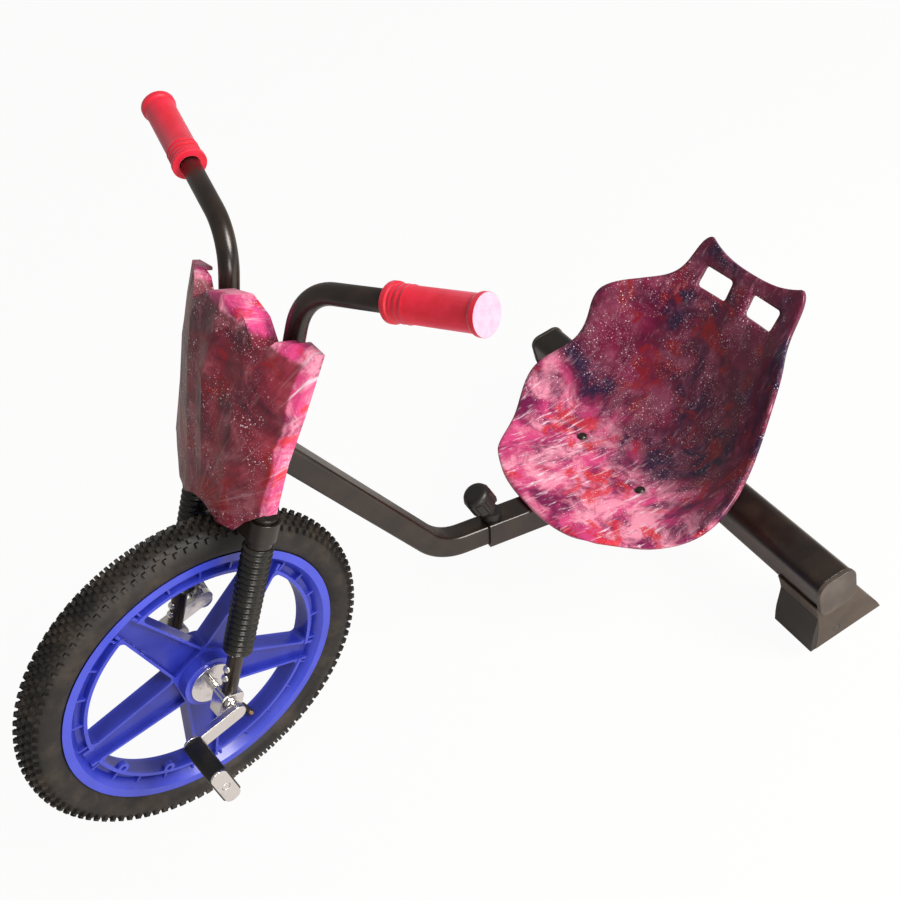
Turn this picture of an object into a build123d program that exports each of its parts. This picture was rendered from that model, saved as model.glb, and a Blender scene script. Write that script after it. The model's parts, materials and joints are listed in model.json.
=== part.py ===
"""Child's drift scooter: a pedalled front wheel, a low bucket seat and two hard rear rollers.

Frame of the part: +X forward, +Y to the rider's left, +Z up, floor at Z = 0, millimetres.
The origin is on the floor under the middle of the overall length.
"""
import os
from math import cos, radians, sin, sqrt, tan

from build123d import *

# ---- fits ----
SEAT_GAP = 0.3          # between pieces that only lie against each other
SLIDE_GAP = 0.4         # front tube inside the sleeve, each side
RUN_GAP = 0.1           # radial, shafts in their bearings
SIDE_GAP = 5.0          # beside the wheels

# ---- rear axle group ----
REAR_X = -332.0         # cross tube axis, along X
CROSS_Z = 100.0         # cross tube axis, above the floor
CROSS_W = 48.0          # cross tube, outer width of its rounded square
CROSS_R = 13.0          # its corner radius
CROSS_WALL = 2.0
CROSS_HALF = 288.0      # half the cross tube's length
CAP_T = 6.0             # end cap

ROLLER_D = 62.0         # hard rear roller
ROLLER_W = 30.0
ROLLER_BOLT_D = 8.0
HOUSING_W = 60.0        # width of the moulded housing, along Y
HOUSING_WAIST = 24.0    # half its length where it is narrowest, just under the cross tube
HOUSING_FRONT = 30.0    # ahead of the cross tube axis, at the lower edge
HOUSING_REAR = 62.0     # behind it
HOUSING_LIFT = 18.0     # its lower edge above the floor
HOUSING_ROUND = 14.0    # its inner corners

# ---- sliding frame tubes ----
SLEEVE_W = 33.0         # outer square tube
SLEEVE_WALL = 2.5
SLEEVE_X = 263.0        # its mouth, ahead of the cross tube axis
SLEEVE_Z = 154.0        # its axis at the mouth
SLEEVE_SLOPE = 14.5     # it falls rearwards by this angle
TUBE_WALL = 2.0
SOCKET_LEN = 150.0      # front tube inside the sleeve
BEND_AHEAD = 60.0       # from the sleeve's mouth to the corner of the bend
BEND_R = 62.0
RISE_DEG = 65.4         # front tube's climb

KNOB_BACK = 10.0        # knob's boss behind the sleeve's mouth
KNOB_LEAN = 28.0        # its stem leans forward off the sleeve
KNOB_SINK = 4.0         # stem's foot inside the boss
KNOB_D = 34.0
KNOB_H = 46.0
KNOB_HEAD_H = 26.0
KNOB_NECK_D = 16.0
KNOB_BOSS_D = 24.0
KNOB_BOSS_H = 9.0
KNOB_ROUND = 8.0        # rounding of its top
KNOB_FLUTES = 8
KNOB_FLUTE_R = 3.0

# ---- steering ----
RAKE = 33.4             # steering axis, back from vertical
STEER_REST = 13.5       # the bar stands turned to the left
WHEELBASE = 617.5
STEERER_D = 28.0
HEAD_D = 38.0           # head tube
HEAD_GAP = 4.0          # above the fork crown
HEAD_L = 114.0
HEAD_JOIN = 64.0        # the front tube meets it this far up
CUP_D = 44.0            # headset cups, at both ends of the head tube
CUP_H = 9.0

# ---- front wheel ----
TYRE_R = 203.5          # out to the lugs' tips
TYRE_H = 41.0           # from the rim's flange to the lugs' tips
TYRE_W = 43.0
LUGS = 66               # pitches round the tread
LUG_H = 3.8
LUG_L = 8.6             # along the tread
LUG_W = 9.5             # across it, at full height
RIM_FLANGE = 9.5        # flange ring, across its face
RIM_W = 33.0
RIM_DEPTH = 28.5        # from the flange's edge in to the inner lip's edge
RIM_LIP = 5.0
RIM_LIP_W = 24.0
RIM_WEB = 10.0
RIM_SLOPE = 8.0         # the flange falls to the web over this much radius
RIM_RIBS = 25
RIM_RIB_T = 2.4
SPOKES = 5
SPOKE_DEG = -29.0
SPOKE_ROOT_W = 46.0
SPOKE_TIP_W = 27.0
SPOKE_T = 22.0
SPOKE_WALL = 3.6        # the raised edges of each spoke's channel
CHANNEL_DEPTH = 6.5
GAP_ROUND = 6.0         # corners of the gaps between the spokes
EAR_D = 13.0            # two eyed ears inside the rim, in the gap ahead of the lowest spoke
EAR_HOLE_D = 5.5
EAR_T = 6.0
EAR_SPREAD = 28.8       # degrees between them
HUB_D = 62.0
HUB_W = 50.0
HUB_PLATE_D = 50.0
HUB_PLATE_T = 3.0
AXLE_D = 12.0

# ---- fork ----
LEG_OFF = 57.0          # leg axis from the wheel's mid-plane
LEG_D = 27.0
LEG_PROUD = 4.0         # above the crown
TIP_D = 17.0
TIP_LOW = 16.0
BOOT_D = 32.0
BOOT_LOW = 69.0
BOOT_GAP = 9.0          # between the boot and the crown
BOOT_RIBS = 19
BOOT_RIB_H = 2.2
CROWN_GAP = 8.5         # crown clear of the tyre
CROWN_T = 22.0
CROWN_W = 34.0          # front to back
DROP_T = 20.0           # dropout block, along the axle
DROP_W = 27.0
DROP_LOW = -17.0

# ---- cranks and pedals ----
CRANK_R = 54.0
CRANK_DEG = -31.0       # left crank, from straight ahead towards up the axis
CRANK_OFF = 72.0        # inner face from the wheel's mid-plane
CRANK_T = 8.0
CRANK_W = 19.0
SPINDLE_D = 9.0
PEDAL_OFF = 85.0        # inner face
PEDAL_L = 58.0          # its long side hangs down
PEDAL_W = 54.0          # along its spindle
PEDAL_T = 21.0
PEDAL_PLATE = 2.5

# ---- handlebar ----
BAR_D = 20.0
BAR_ABOVE = 36.0        # middle of the bar above the head tube
RISER_LOW_OFF = 50.0
RISER_TOP = (10.0, 60.0, 85.0)     # ahead, to the side and up, from the middle of the bar
GRIP_OUT = (-12.0, 245.0, 146.4)
GRIP_LEN = 92.0
RISER_BEND_R = 58.0
LOW_BEND_R = 30.0
GRIP_D = 31.0
GRIP_FLANGE_D = 35.0
GRIP_FLANGE_T = 5.0
GRIP_RIB_D = 33.0       # three low rings beside the inner flange
GRIP_END = 3.0          # closed outer end
STEM_D = 32.0
STEM_W = 44.0

# ---- fairing ----
SHELL_T = 3.0
SHELL_UP = 16.0         # its lowest section above the fork crown's underside
SHELL_BACK = 8.0        # its side flanges end this far ahead of the steering axis
BAR_CLEAR = 16.0        # its top ends this far ahead of it, clear of the bar
BRACKET_W = 8.0
BRACKET_T = 4.0

# ---- seat ----
SEAT_T = 5.0
SEAT_STRAP_W = 32.0
SEAT_STRAP_T = 4.0
SEAT_BOLT_Y = 62.0
SEAT_BOLT_X = 85.0
SEAT_BOLT_D = 6.5
SLOT_IN = 17.0
SLOT_OUT = 67.0
SLOT_H = 27.0
SLOT_BELOW = 31.6       # slots' middle below the notch in the back's top edge

os.makedirs("parts", exist_ok=True)


def write(piece, name):
    """Labels a finished piece and writes its STEP file."""
    piece.label = name
    export_step(piece, f"parts/{name}.step")


# ---- the steered group's own frame: origin at the wheel's centre, X ahead, Y left, Z up the axis ----
rake = radians(RAKE)
turn = radians(STEER_REST)
rim_r = TYRE_R - TYRE_H
rim_bed = rim_r - RIM_FLANGE + 4
rim_inner = rim_r - RIM_DEPTH
slope_foot = rim_r - RIM_FLANGE - RIM_SLOPE
carcass_r = TYRE_R - LUG_H
side_r = TYRE_R - 0.55 * TYRE_H
shoulder_y = TYRE_W / 2 - 2.5
crown_low = TYRE_R + CROWN_GAP
crown_top = crown_low + CROWN_T
head_low = crown_top + HEAD_GAP
head_top = head_low + HEAD_L
bar_low = head_top + BAR_ABOVE
axis_up = Vector(-sin(rake), 0, cos(rake))
ahead = Vector(cos(rake) * cos(turn), sin(turn), sin(rake) * cos(turn))
left = axis_up.cross(ahead)
lean = abs(left.Z)
middle_lug_y = LUG_W + 0.5
tread_corners = ((sqrt(TYRE_R**2 + LUG_L**2 / 4), middle_lug_y), (sqrt(carcass_r**2 + LUG_L**2 / 4), shoulder_y))
axle_z = max(r * sqrt(1 - lean**2) + y * lean for r, y in tread_corners)
wheel_centre = Vector(REAR_X + WHEELBASE, 0, axle_z)
STEER = Plane(origin=wheel_centre, x_dir=ahead, z_dir=axis_up)
WHEEL_AXIS = Axis(wheel_centre, left)


def steered(plane):
    """A plane given in the steered group's frame."""
    return Plane(STEER.location * plane.location)


# ================= rear frame =================
slope = radians(SLEEVE_SLOPE)
sleeve_dir = Vector(cos(slope), 0, sin(slope))
mouth = Vector(REAR_X + SLEEVE_X, 0, SLEEVE_Z)
sleeve_len = SLEEVE_X / cos(slope)
sleeve_tail = mouth - sleeve_dir * sleeve_len
SLEEVE = Plane(origin=mouth, x_dir=(0, 1, 0), z_dir=sleeve_dir)

with BuildPart() as rear_cross_tube:
    with BuildSketch(Plane.XZ.offset(-CROSS_HALF)) as cross_section:
        with Locations((REAR_X, CROSS_Z)):
            RectangleRounded(CROSS_W, CROSS_W, CROSS_R)
            RectangleRounded(CROSS_W - 2 * CROSS_WALL, CROSS_W - 2 * CROSS_WALL, CROSS_R - CROSS_WALL,
                             mode=Mode.SUBTRACT)
    extrude(amount=2 * CROSS_HALF)
write(rear_cross_tube.part, "rear_cross_tube")

with BuildPart() as rear_sleeve_tube:
    with BuildSketch(SLEEVE):
        RectangleRounded(SLEEVE_W, SLEEVE_W, 3)
    extrude(amount=-sleeve_len)
    with BuildSketch(SLEEVE):
        Rectangle(SLEEVE_W - 2 * SLEEVE_WALL, SLEEVE_W - 2 * SLEEVE_WALL)
    extrude(amount=-sleeve_len, mode=Mode.SUBTRACT)
    # the tail is mitred to the front of the cross tube
    with BuildSketch(Plane.XZ.offset(-SLEEVE_W)):
        with Locations((REAR_X - CROSS_W, CROSS_Z)):
            Rectangle(3 * CROSS_W, 4 * CROSS_W)
    extrude(amount=2 * SLEEVE_W, mode=Mode.SUBTRACT)
write(rear_sleeve_tube.part, "rear_sleeve_tube")

# ================= front frame =================
rise = radians(RISE_DEG)
climb_dir = Vector(cos(rise), 0, sin(rise))
bend = mouth + sleeve_dir * BEND_AHEAD
head_mid = wheel_centre + axis_up * (head_low + HEAD_JOIN)
climb_len = (head_mid - bend).dot(climb_dir)
tube_w = SLEEVE_W - 2 * SLEEVE_WALL - 2 * SLIDE_GAP
tube_tail = mouth - sleeve_dir * SOCKET_LEN
climb_top = bend + climb_dir * climb_len

with BuildPart() as front_bent_tube:
    with BuildLine() as tube_path:
        FilletPolyline(tube_tail, bend, climb_top, radius=BEND_R)
    with BuildSketch(Plane(origin=tube_tail, x_dir=(0, 1, 0), z_dir=sleeve_dir)):
        RectangleRounded(tube_w, tube_w, 4)
        RectangleRounded(tube_w - 2 * TUBE_WALL, tube_w - 2 * TUBE_WALL, 2, mode=Mode.SUBTRACT)
    sweep(path=tube_path.wires()[0])
    # the top is mitred round the head tube
    with BuildSketch(Plane(origin=head_mid, x_dir=(0, 1, 0), z_dir=axis_up)):
        Circle(HEAD_D / 2)
    extrude(amount=3 * HEAD_D, both=True, mode=Mode.SUBTRACT)
write(front_bent_tube.part, "front_bent_tube")

with BuildPart() as head_tube:
    with BuildSketch(steered(Plane.XY.offset(head_low))):
        Circle(HEAD_D / 2)
    extrude(amount=HEAD_L)
    for height in (head_low, head_top - CUP_H):
        with BuildSketch(steered(Plane.XY.offset(height))):
            Circle(CUP_D / 2)
        extrude(amount=CUP_H)
    with BuildSketch(steered(Plane.XY.offset(head_low))):
        Circle(STEERER_D / 2 + RUN_GAP)
    extrude(amount=HEAD_L, mode=Mode.SUBTRACT)
write(head_tube.part, "head_tube")

# ================= rear rollers and their housings =================
saddle_z = CROSS_Z - CROSS_W / 2 + CROSS_R
saddle_half = CROSS_W / 2 + 2.5
roller_y = CROSS_HALF - HOUSING_W / 2
roller_z = ROLLER_D / 2
SIDES = (("left", 1), ("right", -1))

for side, sign in SIDES:
    y = sign * roller_y
    with BuildPart() as housing:
        # a saddle under the cross tube, flared to its lower edge in front and behind
        with BuildSketch(Plane(origin=(REAR_X, y + HOUSING_W / 2, 0), x_dir=(1, 0, 0), z_dir=(0, -1, 0))):
            with BuildLine():
                Line((-HOUSING_REAR, HOUSING_LIFT), (HOUSING_FRONT, HOUSING_LIFT))
                Spline((HOUSING_FRONT, HOUSING_LIFT), (HOUSING_WAIST, (HOUSING_LIFT + saddle_z) / 2 + 6),
                       (saddle_half, saddle_z), tangents=((-0.2, 1), (0.2, 1)))
                Line((saddle_half, saddle_z), (-saddle_half, saddle_z))
                Spline((-saddle_half, saddle_z), (-saddle_half - 13, (HOUSING_LIFT + saddle_z) / 2 + 8),
                       (-HOUSING_REAR, HOUSING_LIFT), tangents=((-0.6, -1), (-0.3, -1)))
            make_face()
        extrude(amount=HOUSING_W)
        # its inner end is rounded off towards the cross tube
        with BuildSketch(Plane.YZ.offset(REAR_X - HOUSING_REAR)) as end_view:
            with Locations((y, saddle_z / 2)):
                Rectangle(HOUSING_W, saddle_z)
            fillet(end_view.vertices().sort_by(Axis.Z)[-2:].sort_by(Axis.Y)[-1 if sign < 0 else 0], radius=HOUSING_ROUND)
        extrude(amount=HOUSING_FRONT + HOUSING_REAR, mode=Mode.INTERSECT)
        # seat for the cross tube
        with BuildSketch(Plane.XZ.offset(-y - HOUSING_W)):
            with Locations((REAR_X, CROSS_Z + CROSS_W / 2)):
                Rectangle(CROSS_W + 2 * SEAT_GAP, CROSS_W)
            with Locations((REAR_X, CROSS_Z)):
                RectangleRounded(CROSS_W + 2 * SEAT_GAP, CROSS_W + 2 * SEAT_GAP, CROSS_R)
        extrude(amount=2 * HOUSING_W, mode=Mode.SUBTRACT)
        # wheel well
        with BuildSketch(Plane.XZ.offset(-y - ROLLER_W / 2 - SIDE_GAP)):
            with Locations((REAR_X, roller_z)):
                Circle(ROLLER_D / 2 + SIDE_GAP)
            with Locations((REAR_X, 0)):
                Rectangle(ROLLER_D + 2 * SIDE_GAP, 2 * roller_z)
        extrude(amount=ROLLER_W + 2 * SIDE_GAP, mode=Mode.SUBTRACT)
        with BuildSketch(Plane.XZ.offset(-y - HOUSING_W)):
            with Locations((REAR_X, roller_z)):
                Circle(ROLLER_BOLT_D / 2 + SEAT_GAP / 2)
        extrude(amount=2 * HOUSING_W, mode=Mode.SUBTRACT)
    write(housing.part, f"{side}_rear_housing")

    with BuildPart() as roller:
        with BuildSketch(Plane.XZ.offset(-y - ROLLER_W / 2)):
            with Locations((REAR_X, roller_z)):
                Circle(ROLLER_D / 2)
                Circle(ROLLER_BOLT_D / 2 + RUN_GAP, mode=Mode.SUBTRACT)
        extrude(amount=ROLLER_W)
    write(roller.part, f"{side}_rear_wheel")

    with BuildPart() as bolt:
        with BuildSketch(Plane.XZ.offset(-y - HOUSING_W / 2)):
            with Locations((REAR_X, roller_z)):
                Circle(ROLLER_BOLT_D / 2)
        extrude(amount=HOUSING_W)
    write(bolt.part, f"{side}_rear_axle")

    with BuildPart() as cap:
        with BuildSketch(Plane.XZ.offset(-sign * CROSS_HALF)):
            with Locations((REAR_X, CROSS_Z)):
                RectangleRounded(CROSS_W + 2, CROSS_W + 2, CROSS_R + 1)
        extrude(amount=-sign * CAP_T)
    write(cap.part, f"{side}_end_cap")


# ================= front wheel =================
with BuildPart() as front_tyre:
    with BuildSketch(steered(Plane.XY)):
        with BuildLine():
            bed = rim_bed + SEAT_GAP
            lip = RIM_W / 2 - 4.9
            Polyline((bed, 0), (bed, lip), (rim_r - 2, lip + 1), (rim_r + 1, lip + 2.5))
            Polyline((rim_r + 1, lip + 2.5), (rim_r + 5, TYRE_W / 2 - 2.5), (side_r, TYRE_W / 2),
                     (carcass_r - 5, shoulder_y), (carcass_r, middle_lug_y), (carcass_r, 0), (bed, 0))
        make_face()
        mirror(about=Plane.XZ)
    revolve(axis=WHEEL_AXIS)
    # block lugs in two staggered rows, each stepping down over the shoulder
    pitch = 360 / LUGS
    for side, sign in SIDES:
        lug_planes = []
        for number in range(LUGS):
            turned_to = radians(pitch * (number + sign / 4))
            lug_planes.append(steered(Plane(origin=(0, 0, 0), x_dir=(cos(turned_to), 0, sin(turned_to)),
                                            z_dir=(-sin(turned_to), 0, cos(turned_to)))))
        with BuildSketch(*lug_planes):
            Polygon((carcass_r - 6, sign * 0.5), (TYRE_R, sign * 0.5), (TYRE_R, sign * middle_lug_y),
                    (carcass_r, sign * shoulder_y), (carcass_r - 6, sign * shoulder_y), align=None)
        extrude(amount=LUG_L / 2, both=True)
write(front_tyre.part, "front_tyre")

with BuildPart() as front_wheel:
    # rim: outer channel for the tyre, a web and an inner lip
    with BuildSketch(steered(Plane.XY)):
        with BuildLine():
            Polyline((rim_inner, 0), (rim_inner, RIM_LIP_W / 2), (rim_inner + RIM_LIP - 1, RIM_LIP_W / 2),
                     (rim_inner + RIM_LIP, RIM_WEB / 2), (slope_foot, RIM_WEB / 2), (rim_r - RIM_FLANGE, RIM_W / 2),
                     (rim_r, RIM_W / 2), (rim_r - 1, RIM_W / 2 - 2), (rim_r - 2.5, RIM_W / 2 - 3.3),
                     (rim_bed, RIM_W / 2 - 4.4), (rim_bed, 0), (rim_inner, 0))
        make_face()
        mirror(about=Plane.XZ)
    revolve(axis=WHEEL_AXIS)
    # small ribs between the flange and the lip
    with BuildSketch(steered(Plane.XZ)):
        with PolarLocations(0, RIM_RIBS, start_angle=SPOKE_DEG + 180 / RIM_RIBS):
            with Locations(((rim_inner + rim_bed) / 2, 0)):
                Rectangle(rim_bed - rim_inner - 4, RIM_RIB_T)
    extrude(amount=RIM_LIP_W / 2 - 2, both=True)
    # a disc with five rounded gaps leaves the tapered spokes
    with BuildSketch(steered(Plane.XZ)):
        Circle(rim_inner + 1)
        with PolarLocations(0, SPOKES, start_angle=SPOKE_DEG):
            with Locations((rim_inner + RIM_LIP, 0)):
                Rectangle(2 * (slope_foot - rim_inner - RIM_LIP), SPOKE_TIP_W)
    extrude(amount=SPOKE_T / 2, both=True)
    with BuildSketch(steered(Plane.XZ)) as gaps:
        Circle(rim_inner)
        Circle(HUB_D / 2, mode=Mode.SUBTRACT)
        with PolarLocations(0, SPOKES, start_angle=SPOKE_DEG):
            Polygon((HUB_D / 2 - 6, SPOKE_ROOT_W / 2), (rim_inner + 2, SPOKE_TIP_W / 2),
                    (rim_inner + 2, -SPOKE_TIP_W / 2), (HUB_D / 2 - 6, -SPOKE_ROOT_W / 2),
                    align=None, mode=Mode.SUBTRACT)
        fillet(gaps.vertices(), radius=GAP_ROUND)
    extrude(amount=RIM_W, both=True, mode=Mode.SUBTRACT)
    # each spoke is a channel on both faces, open into the rim
    for side, sign in SIDES:
        with BuildSketch(steered(Plane.XZ.offset(-sign * (SPOKE_T / 2 - CHANNEL_DEPTH)))):
            with PolarLocations(0, SPOKES, start_angle=SPOKE_DEG):
                Polygon((HUB_D / 2 + 1, SPOKE_ROOT_W / 2 - SPOKE_WALL), (slope_foot, SPOKE_TIP_W / 2 - SPOKE_WALL),
                        (slope_foot, SPOKE_WALL - SPOKE_TIP_W / 2), (HUB_D / 2 + 1, SPOKE_WALL - SPOKE_ROOT_W / 2),
                        align=None)
        extrude(amount=-sign * RIM_W, mode=Mode.SUBTRACT)
    with BuildSketch(steered(Plane.XZ)):
        Circle(HUB_D / 2)
    extrude(amount=HUB_W / 2, both=True)
    # two eyed ears on the lip
    ear_mid = SPOKE_DEG - 180 / SPOKES
    with BuildSketch(steered(Plane.XZ.offset(-RIM_LIP_W / 2))):
        with PolarLocations(0, 2, start_angle=ear_mid - EAR_SPREAD / 2, angular_range=2 * EAR_SPREAD):
            with Locations((rim_inner - EAR_HOLE_D / 2, 0)):
                Circle(EAR_D / 2)
                Circle(EAR_HOLE_D / 2, mode=Mode.SUBTRACT)
    extrude(amount=EAR_T)
    with BuildSketch(steered(Plane.XZ)):
        Circle(AXLE_D / 2 + SEAT_GAP / 2)
    extrude(amount=HUB_W, both=True, mode=Mode.SUBTRACT)
write(front_wheel.part, "front_wheel")

crank_turn = radians(CRANK_DEG)
down = Vector(0, 0, -1)
down = (down - left * down.dot(left)).normalized()

with BuildPart() as wheel_axle:
    with BuildSketch(steered(Plane.XZ)):
        Circle(AXLE_D / 2)
    extrude(amount=CRANK_OFF, both=True)
write(wheel_axle.part, "wheel_axle")

for side, sign in SIDES:
    with BuildPart() as hub_plate:
        with BuildSketch(steered(Plane.XZ.offset(-sign * (HUB_W / 2 + SEAT_GAP)))):
            Circle(HUB_PLATE_D / 2)
            Circle(AXLE_D / 2 + SEAT_GAP / 2, mode=Mode.SUBTRACT)
        extrude(amount=-sign * HUB_PLATE_T)
    write(hub_plate.part, f"{side}_hub_plate")

    pin_x = sign * CRANK_R * cos(crank_turn)
    pin_z = sign * CRANK_R * sin(crank_turn)
    with BuildPart() as crank:
        with BuildSketch(steered(Plane.XZ.offset(-sign * CRANK_OFF))):
            with Locations((pin_x / 2, pin_z / 2)):
                SlotCenterToCenter(CRANK_R, CRANK_W, rotation=CRANK_DEG)
        extrude(amount=-sign * CRANK_T)
        # spindle for the pedal
        with BuildSketch(steered(Plane.XZ.offset(-sign * CRANK_OFF))):
            with Locations((pin_x, pin_z)):
                Circle(SPINDLE_D / 2)
        extrude(amount=-sign * (PEDAL_OFF - CRANK_OFF + PEDAL_W))
    write(crank.part, f"{side}_crank")

    pedal_foot = wheel_centre + ahead * pin_x + axis_up * pin_z + left * (sign * PEDAL_OFF)
    pedal_plane = Plane(origin=pedal_foot, x_dir=down, z_dir=left * sign)
    with BuildPart() as pedal_cage:
        for height in (0, PEDAL_W - PEDAL_PLATE):
            with BuildSketch(pedal_plane.offset(height)):
                SlotOverall(PEDAL_L, PEDAL_T - 3)
            extrude(amount=PEDAL_PLATE)
        with BuildSketch(pedal_plane):
            Circle(SPINDLE_D / 2 + 2)
        extrude(amount=PEDAL_W)
        with BuildSketch(pedal_plane):
            Circle(SPINDLE_D / 2 + RUN_GAP)
        extrude(amount=PEDAL_W, mode=Mode.SUBTRACT)
    write(pedal_cage.part, f"{side}_pedal_cage")

    with BuildPart() as pedal_block:
        with BuildSketch(pedal_plane.offset(PEDAL_PLATE + SEAT_GAP)):
            RectangleRounded(PEDAL_L - 6, PEDAL_T, 5)
            Circle(SPINDLE_D / 2 + 2 + SEAT_GAP, mode=Mode.SUBTRACT)
        extrude(amount=PEDAL_W - 2 * PEDAL_PLATE - 2 * SEAT_GAP)
    write(pedal_block.part, f"{side}_pedal_block")

# ================= fork =================
boot_top = crown_low - BOOT_GAP
for side, sign in SIDES:
    leg_y = sign * LEG_OFF
    with BuildPart() as fork_leg:
        with BuildSketch(steered(Plane.XY.offset(boot_top))):
            with Locations((0, leg_y)):
                Circle(LEG_D / 2)
        extrude(amount=crown_top + LEG_PROUD - boot_top)
    write(fork_leg.part, f"{side}_fork_leg")

    with BuildPart() as boot:
        with BuildSketch(steered(Plane.XZ.offset(-leg_y))):
            with BuildLine():
                half = BOOT_D / 2
                groove = half - BOOT_RIB_H
                rib_pitch = (boot_top - SEAT_GAP - BOOT_LOW) / BOOT_RIBS
                outline = [(0, BOOT_LOW)]
                for rib in range(BOOT_RIBS):
                    low = BOOT_LOW + rib * rib_pitch
                    outline += [(groove, low), (half, low + rib_pitch / 2)]
                outline += [(groove, boot_top - SEAT_GAP), (0, boot_top - SEAT_GAP)]
                Polyline(*outline, close=True)
            make_face()
        revolve(axis=Axis(STEER.from_local_coords(Vector(0, leg_y, 0)), axis_up))
    write(boot.part, f"{side}_fork_boot")

    with BuildPart() as tip:
        with BuildSketch(steered(Plane.XY.offset(TIP_LOW))):
            with Locations((0, leg_y)):
                Circle(TIP_D / 2)
        extrude(amount=BOOT_LOW - SEAT_GAP - TIP_LOW)
    write(tip.part, f"{side}_fork_tip")

    with BuildPart() as dropout:
        with BuildSketch(steered(Plane.XZ.offset(-leg_y + DROP_T / 2))):
            with Locations((0, (TIP_LOW + DROP_LOW) / 2)):
                RectangleRounded(DROP_W, TIP_LOW - SEAT_GAP - DROP_LOW, 6)
            Circle(AXLE_D / 2 + RUN_GAP, mode=Mode.SUBTRACT)
        extrude(amount=-DROP_T)
    write(dropout.part, f"{side}_dropout")

with BuildPart() as fork_crown:
    with BuildSketch(steered(Plane.XY.offset(crown_low))):
        SlotCenterToCenter(2 * LEG_OFF, CROWN_W, rotation=90)
        with Locations((0, LEG_OFF), (0, -LEG_OFF)):
            Circle(LEG_D / 2 + SEAT_GAP / 2, mode=Mode.SUBTRACT)
    extrude(amount=CROWN_T)
    # steerer through the head tube, up to the stem
    with BuildSketch(steered(Plane.XY.offset(crown_top))):
        Circle(STEERER_D / 2)
    extrude(amount=bar_low - STEM_D / 2 - crown_top)
write(fork_crown.part, "fork_crown")

# ================= handlebar =================
def bar_point(offsets, sign=1):
    """A point of the bar in the steered frame, from offsets to the bar's middle; -1 for the rider's right."""
    return (offsets[0], sign * offsets[1], bar_low + offsets[2])


low_corner = (0.0, RISER_LOW_OFF, 0.0)
with BuildPart() as handlebar:
    with BuildLine(STEER) as bar_line:
        FilletPolyline(bar_point(GRIP_OUT), bar_point(RISER_TOP), bar_point(low_corner),
                       bar_point(low_corner, -1), bar_point(RISER_TOP, -1), bar_point(GRIP_OUT, -1),
                       radius=[RISER_BEND_R, LOW_BEND_R, LOW_BEND_R, RISER_BEND_R])
    bar_wire = bar_line.wires()[0]
    with BuildSketch(Plane(origin=bar_wire @ 0, z_dir=bar_wire % 0)):
        Circle(BAR_D / 2)
    sweep(path=bar_wire)
write(handlebar.part, "handlebar")

with BuildPart() as stem:
    with BuildSketch(steered(Plane.XZ.offset(-STEM_W / 2))):
        with Locations((0, bar_low)):
            Circle(STEM_D / 2)
            Circle(BAR_D / 2 + SEAT_GAP / 2, mode=Mode.SUBTRACT)
    extrude(amount=STEM_W)
write(stem.part, "stem")

for side, sign in SIDES:
    grip_out = STEER.from_local_coords(Vector(*bar_point(GRIP_OUT, sign)))
    bend_top = STEER.from_local_coords(Vector(*bar_point(RISER_TOP, sign)))
    grip_dir = (grip_out - bend_top).normalized()
    grip_in = grip_out - grip_dir * GRIP_LEN
    across = grip_dir.cross(axis_up).normalized()
    with BuildPart() as grip:
        with BuildSketch(Plane(origin=grip_in, x_dir=across, z_dir=across.cross(grip_dir))):
            with BuildLine():
                bore = BAR_D / 2 + SEAT_GAP / 2
                outline = [(bore, 0), (GRIP_FLANGE_D / 2, 0), (GRIP_FLANGE_D / 2, GRIP_FLANGE_T)]
                for ring in range(3):
                    start = GRIP_FLANGE_T + 2 + ring * 6
                    outline += [(GRIP_D / 2, start), (GRIP_RIB_D / 2, start + 1.5), (GRIP_D / 2, start + 4)]
                outline += [(GRIP_D / 2, GRIP_LEN - GRIP_FLANGE_T), (GRIP_FLANGE_D / 2, GRIP_LEN - 2),
                            (GRIP_FLANGE_D / 2, GRIP_LEN + GRIP_END), (0, GRIP_LEN + GRIP_END),
                            (0, GRIP_LEN + SEAT_GAP), (bore, GRIP_LEN + SEAT_GAP)]
                Polyline(*outline, close=True)
            make_face()
        revolve(axis=Axis(grip_in, grip_dir))
    write(grip.part, f"{side}_grip")

# ================= fairing =================
# half sections of its front, from the nose outwards: ahead, to the side; at heights above its foot
fairing_sections = (
    (-30, ((32, 0), (34, 16), (33, 30), (27, 52), (22, 72), (16, 96))),
    (29, ((39, 0), (37, 16), (36, 31), (29, 58), (20, 81), (12, 106))),
    (84, ((49, 0), (43, 18), (43, 36), (31, 70), (22, 85), (12, 108))),
    (139, ((57, 0), (49, 20), (47, 42), (31, 80), (22, 93), (12, 112))),
    (172, ((54, 0), (47, 24), (46, 48), (31, 80), (20, 98), (13, 114))),
    (222, ((44, 0), (42, 26), (40, 52), (26, 82), (16, 102), (12, 116))),
)
# its outline from the front: to the side, above its foot
fairing_foot = ((0, 0), (14, -2), (30, -9), (50, -6), (60, 8), (80, 27), (84, 29))
fairing_head = ((86, 84), (95, 139), (103, 204), (82, 206), (68, 202), (59, 189), (49, 190), (30, 207), (0, 215))


def outline_points(wall):
    """The outline as a closed loop, its sides and top moved in by a wall and its foot left open."""
    foot = [(y, z) for y, z in fairing_foot] if wall == 0 else [(0, -60), (fairing_foot[-1][0] - wall, -60)]
    sides = [(y - wall, z) for y, z in fairing_head[:3]]
    top = [(y - wall / 2, z - wall) for y, z in fairing_head[3:-1]]
    if wall:
        sides[-1] = (sides[-1][0], sides[-1][1] - wall)
    left_half = foot[1:] + sides + top
    middle_top = (0, fairing_head[-1][1] - wall)
    right_half = [(-y, z) for y, z in reversed(left_half)]
    return [foot[0]] + left_half + [middle_top] + right_half


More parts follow.
